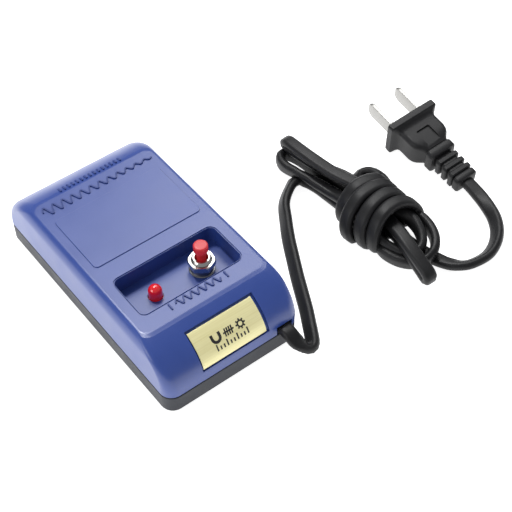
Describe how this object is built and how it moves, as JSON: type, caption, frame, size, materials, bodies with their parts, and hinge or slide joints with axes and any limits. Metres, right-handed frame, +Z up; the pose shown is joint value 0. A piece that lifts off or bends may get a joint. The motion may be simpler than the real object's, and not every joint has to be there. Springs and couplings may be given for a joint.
{
  "type": "tool demagnetizer",
  "caption": "Bench demagnetizer with a flat work pad, a push-to-run button and pilot lamp in a recessed pocket, and a flat mains cord tied in a hank.",
  "frame": {"origin": "on the table, under the middle of the housing (the free cord and its plug left out)", "axes": "+X to the right seen from the front, -Y the front face with the nameplate and the cord exit, +Z up; the button moves along Z"},
  "size_m": [0.1518, 0.1145, 0.03],
  "materials": {
    "shell_blue": "satin moulded",
    "tray_black": "satin moulded",
    "plate_gold": "brushed lacquered",
    "lamp_red": "clear coloured epoxy",
    "button_red": "satin moulded",
    "nickel": "bright plated",
    "steel": "zinc plated",
    "brass": "plain",
    "switch_plastic": "moulded",
    "board_green": "solder mask",
    "resistor_tan": "lacquer",
    "bobbin_nylon": "moulded nylon",
    "copper": "enamelled copper wire",
    "tape_yellow": "polyester tape",
    "rubber_black": "matt",
    "cord_black": "satin extruded PVC",
    "wire_brown": "PVC insulation",
    "wire_blue": "PVC insulation"
  },
  "bodies": {
    "housing": {"top_housing": "shell_blue", "base_tray": "tray_black", "nameplate": "plate_gold", "led_lens": "lamp_red", "led_lead_anode": "nickel", "led_lead_cathode": "nickel", "indicator_board": "board_green", "dropper_resistor": "resistor_tan", "rectifier_diode": "switch_plastic", "return_spring": "steel", "switch_bush": "nickel", "bush_nut": "nickel", "bush_washer": "steel", "switch_body": "switch_plastic", "switch_terminal_line": "brass", "switch_terminal_load": "brass", "coil_bobbin": "bobbin_nylon", "coil_winding": "copper", "coil_tape": "tape_yellow", "core_bar": "steel", "pole_piece_left": "steel", "pole_piece_right": "steel", "pole_screw_left": "steel", "pole_screw_right": "steel", "coil_bracket": "steel", "bracket_screw_1": "steel", "bracket_screw_2": "steel", "cord_clamp": "switch_plastic", "clamp_screw": "steel", "cord_inner": "cord_black", "wire_line": "wire_brown", "wire_neutral": "wire_blue", "wire_switched": "wire_brown", "wire_lamp_line": "wire_brown", "wire_lamp_neutral": "wire_blue", "cord_lead": "cord_black", "cord_tail": "cord_black", "cord_hank": "cord_black", "plug_body": "cord_black", "plug_strain_relief": "cord_black", "plug_blade_left": "nickel", "plug_blade_right": "nickel", "foot_1": "rubber_black", "housing_screw_1": "steel", "foot_2": "rubber_black", "housing_screw_2": "steel", "foot_3": "rubber_black", "housing_screw_3": "steel", "foot_4": "rubber_black", "housing_screw_4": "steel"},
    "button": {"button_cap": "button_red", "button_plunger": "switch_plastic", "contact_bridge": "brass"}
  },
  "joints": [
    {"name": "button_press", "type": "slide", "parent": "housing", "child": "button", "axis": [0, 0, -1], "range_m": [0, 0.0015], "stiffness_N_per_m": 800, "springref_m": -0.0015, "deforming": ["return_spring"]}
  ]
}
